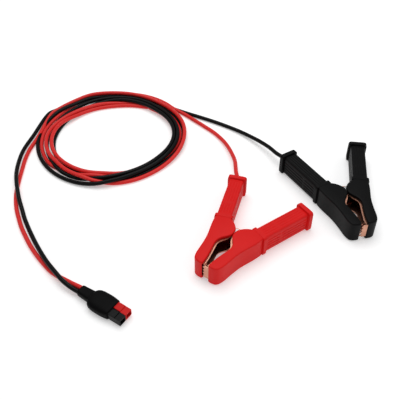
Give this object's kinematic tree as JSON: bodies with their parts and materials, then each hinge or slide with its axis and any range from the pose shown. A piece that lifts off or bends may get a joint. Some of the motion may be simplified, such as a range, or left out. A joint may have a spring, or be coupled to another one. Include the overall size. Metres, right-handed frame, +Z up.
{
  "type": "alligator clip power cable",
  "caption": "Red and black insulated battery clips on single-core leads that run through a loose round coil to a two-pole connector with a moulded boot.",
  "frame": {"origin": "bottom centre of the box round the two clips, on the floor that everything lies on", "axes": "+Z up from the floor; +X to the right of the picture, from the coil toward the black clip; +Y away from the camera"},
  "size_m": [0.3864, 0.351, 0.024],
  "materials": {
    "red_pvc": "satin moulded PVC",
    "black_pvc": "satin moulded PVC",
    "red_cable": "smooth extruded PVC",
    "black_cable": "smooth extruded PVC",
    "copper_plate": "copper-plated pressed steel",
    "spring_steel": "drawn wire and turned steel",
    "contact_silver": "silver-plated copper"
  },
  "bodies": {
    "cable_and_cable_arms": {"red_cable_arm_cover": "red_pvc", "red_cable_arm_jaw": "copper_plate", "red_pivot_rivet": "spring_steel", "red_spring": "spring_steel", "black_cable_arm_cover": "black_pvc", "black_cable_arm_jaw": "copper_plate", "black_pivot_rivet": "spring_steel", "black_spring": "spring_steel", "connector_boot": "black_pvc", "red_housing": "red_pvc", "red_contact": "contact_silver", "black_housing": "black_pvc", "black_contact": "contact_silver", "cable_coil": "black_cable", "red_clip_lead": "red_cable", "red_plug_lead": "red_cable", "black_clip_lead": "black_cable", "black_plug_lead": "black_cable"},
    "red_free_arm": {"red_free_arm_cover": "red_pvc", "red_free_arm_jaw": "copper_plate"},
    "black_free_arm": {"black_free_arm_cover": "black_pvc", "black_free_arm_jaw": "copper_plate"}
  },
  "joints": [
    {"name": "red_clip_pivot", "type": "hinge", "parent": "cable_and_cable_arms", "child": "red_free_arm", "pos_m": [-0.05482, -0.04309, 0.012], "axis": [0, 0, 1], "range_deg": [0, 38], "stiffness_Nm_per_rad": 0.9, "springref_deg": -63.03, "deforming": ["red_spring"]},
    {"name": "black_clip_pivot", "type": "hinge", "parent": "cable_and_cable_arms", "child": "black_free_arm", "pos_m": [0.05878, 0.01651, 0.012], "axis": [0, 0, 1], "range_deg": [0, 38], "stiffness_Nm_per_rad": 0.9, "springref_deg": -63.03, "deforming": ["black_spring"]}
  ]
}
